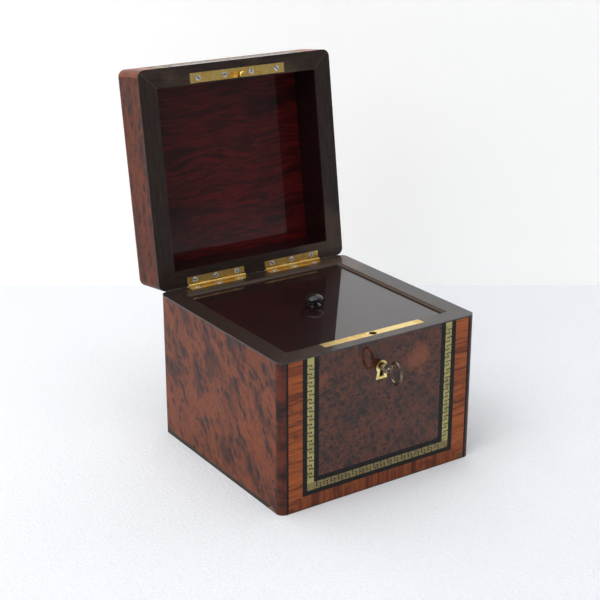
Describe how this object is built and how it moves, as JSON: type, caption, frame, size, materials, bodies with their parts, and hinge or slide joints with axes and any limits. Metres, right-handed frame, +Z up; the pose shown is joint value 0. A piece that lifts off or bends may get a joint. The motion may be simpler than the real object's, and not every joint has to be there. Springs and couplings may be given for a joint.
{
  "type": "tea caddy",
  "caption": "Square veneered tea caddy with a Greek key inlaid front, hinged lid standing open, loose inner lid with a turned knob, and a small box lock with its key.",
  "frame": {"origin": "middle of the underside, on the surface the box stands on", "axes": "+Z up, +X to the right seen from the front, +Y to the hinged back"},
  "size_m": [0.15, 0.2176, 0.2469],
  "materials": {
    "carcass_wood": "plain planed wood",
    "side_burl": "French-polished burl veneer",
    "front_burl": "French-polished dark burl veneer",
    "edge_rosewood": "polished rosewood edging",
    "ebonised_rim": "worn ebonised facing",
    "ebony": "polished ebony",
    "inlay_brass": "old unlacquered brass, flush with the wood",
    "kingwood": "polished kingwood crossbanding",
    "tea_foil": "dull tin foil",
    "polished_rosewood": "rosewood polished to a mirror",
    "black_knob": "turned ebony, polished",
    "fitting_brass": "old brass, rubbed bright on the edges",
    "lock_steel": "filed steel",
    "screw_steel": "bright slotted heads",
    "key_steel": "dark handled steel"
  },
  "bodies": {
    "root": {"base_board": "carcass_wood", "front_board": "carcass_wood", "back_board": "carcass_wood", "left_board": "carcass_wood", "right_board": "carcass_wood", "left_burl_veneer": "side_burl", "right_burl_veneer": "side_burl", "back_burl_veneer": "side_burl", "front_corner_strips": "edge_rosewood", "front_rim_facing": "ebonised_rim", "back_rim_facing": "ebonised_rim", "left_rim_facing": "ebonised_rim", "right_rim_facing": "ebonised_rim", "front_burl_panel": "front_burl", "front_ebony_bands": "ebony", "front_key_bed": "ebony", "front_key_inlay": "inlay_brass", "front_crossband": "kingwood", "compartment_lining": "carcass_wood", "foil_lining": "tea_foil", "lock_plate": "fitting_brass", "lock_rivets": "fitting_brass", "lock_case": "lock_steel", "lock_cover": "lock_steel", "lock_screws": "screw_steel", "bolt_spring": "lock_steel", "escutcheon": "fitting_brass", "left_hinge_body_leaf": "fitting_brass", "right_hinge_body_leaf": "fitting_brass", "hinge_pins": "screw_steel", "body_hinge_screws": "screw_steel"},
    "lid": {"lid_front_board": "carcass_wood", "lid_back_board": "carcass_wood", "lid_left_board": "carcass_wood", "lid_right_board": "carcass_wood", "lid_rim_facing": "ebonised_rim", "lid_top_board": "carcass_wood", "lid_lining_panel": "polished_rosewood", "lid_lining_strips": "polished_rosewood", "lid_edge_strips": "edge_rosewood", "lid_left_burl_veneer": "side_burl", "lid_right_burl_veneer": "side_burl", "lid_back_burl_veneer": "side_burl", "lid_front_burl_panel": "front_burl", "lid_top_burl_panel": "front_burl", "lid_ebony_bands": "ebony", "lid_key_bed": "ebony", "lid_key_inlay": "inlay_brass", "lid_crossband": "kingwood", "left_hinge_lid_leaf": "fitting_brass", "right_hinge_lid_leaf": "fitting_brass", "lid_hinge_screws": "screw_steel", "strike_plate": "fitting_brass", "strike_screws": "screw_steel"},
    "inner_lid": {"inner_lid_panel": "polished_rosewood", "inner_lid_knob": "black_knob"},
    "drill_pin": {"drill_pin": "lock_steel"},
    "key": {"key": "key_steel"},
    "lock_bolt": {"lock_bolt": "lock_steel"}
  },
  "joints": [
    {"name": "lid_hinge", "type": "hinge", "parent": "root", "child": "lid", "pos_m": [0, 0.0735, 0.10125], "axis": [1, 0, 0], "range_deg": [0, 97.8]},
    {"name": "inner_lid_lift", "type": "slide", "parent": "root", "child": "inner_lid", "axis": [0, 0, 1], "range_m": [0, 0.009]},
    {"name": "key_turn", "type": "hinge", "parent": "root", "child": "drill_pin", "pos_m": [0, -0.065, 0.0825], "axis": [0, 1, 0], "range_deg": [0, 180]},
    {"name": "key_draw", "type": "slide", "parent": "drill_pin", "child": "key", "axis": [0, -1, 0], "range_m": [0, 0.013]},
    {"name": "bolt_throw", "type": "slide", "parent": "root", "child": "lock_bolt", "axis": [1, 0, 0], "range_m": [0, 0.006]}
  ],
  "couplings": [
    {"joint": "key_turn", "follows": "bolt_throw", "rad_per_m": 523.6}
  ]
}
